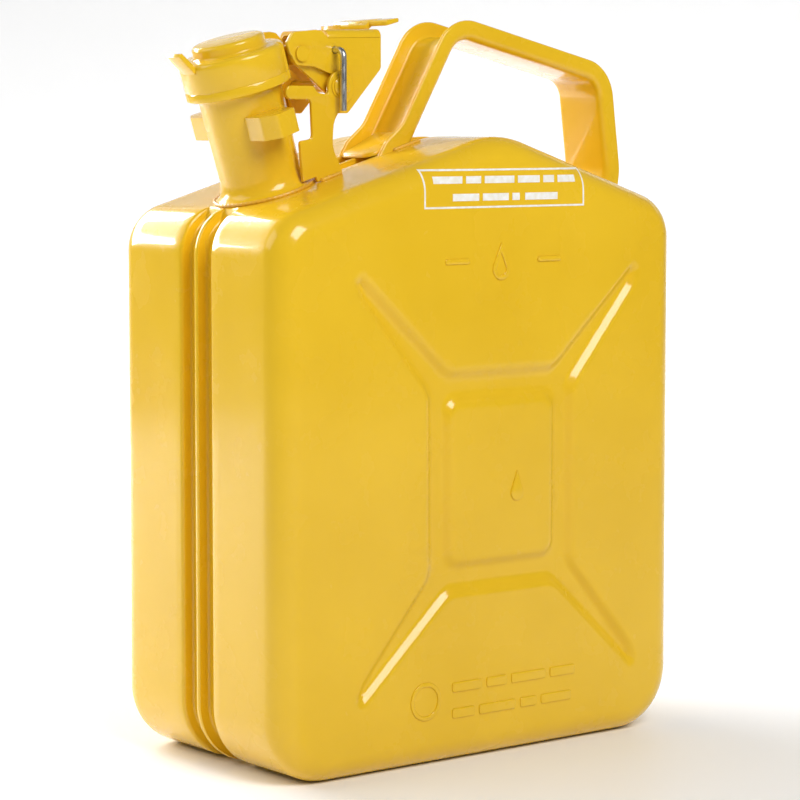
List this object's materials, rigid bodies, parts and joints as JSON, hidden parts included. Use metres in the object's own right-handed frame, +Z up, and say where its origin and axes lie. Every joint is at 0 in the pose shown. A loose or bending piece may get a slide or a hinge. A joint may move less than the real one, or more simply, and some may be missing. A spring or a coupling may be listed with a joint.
{
  "type": "steel fuel can",
  "caption": "Upright pressed-steel fuel can of two half-shells with a centre seam, a channel-section carrying handle and a tilted neck closed by a cam-lever lid with a locking wire.",
  "frame": {"origin": "Middle of the overall box in plan, at the level the can stands on.", "axes": "+Z up; +X from the neck towards the rear foot of the handle; the seam plane is Y = 0 and the front shell is on -Y."},
  "size_m": [0.2311, 0.1172, 0.3101],
  "materials": {
    "paint": "glossy yellow paint",
    "zinc": "bright zinc plate",
    "rubber": "matt black rubber"
  },
  "bodies": {
    "can": {"front_shell": "paint", "back_shell": "paint", "seam_weld": "paint", "handle": "paint", "front_foot_weld": "paint", "rear_foot_weld": "paint", "neck": "paint", "neck_weld": "paint", "vent_tube": "paint", "front_neck_lug": "paint", "back_neck_lug": "paint", "front_hinge_cheek": "paint", "back_hinge_cheek": "paint", "hinge_pin": "zinc", "hinge_washers": "zinc"},
    "lid": {"lid": "paint", "lid_yoke": "paint", "lever_rivets": "zinc", "gasket": "rubber", "gasket_backing_plate": "zinc", "gasket_retainer": "zinc", "retainer_stud": "zinc"},
    "lever": {"cam_lever": "paint", "thumb_tab": "paint"},
    "wire": {"locking_wire": "zinc"}
  },
  "joints": [
    {"name": "lid_swing", "type": "hinge", "parent": "can", "child": "lid", "pos_m": [-0.0455, 0, 0.281], "axis": [0, 1, 0], "range_deg": [0, 45]},
    {"name": "lever_lift", "type": "hinge", "parent": "lid", "child": "lever", "pos_m": [-0.06414, 0, 0.29426], "axis": [0, -1, 0], "range_deg": [0, 100]},
    {"name": "wire_swing", "type": "hinge", "parent": "lever", "child": "wire", "pos_m": [-0.0471, 0, 0.296], "axis": [0, -1, 0], "range_deg": [-15, 75]}
  ]
}
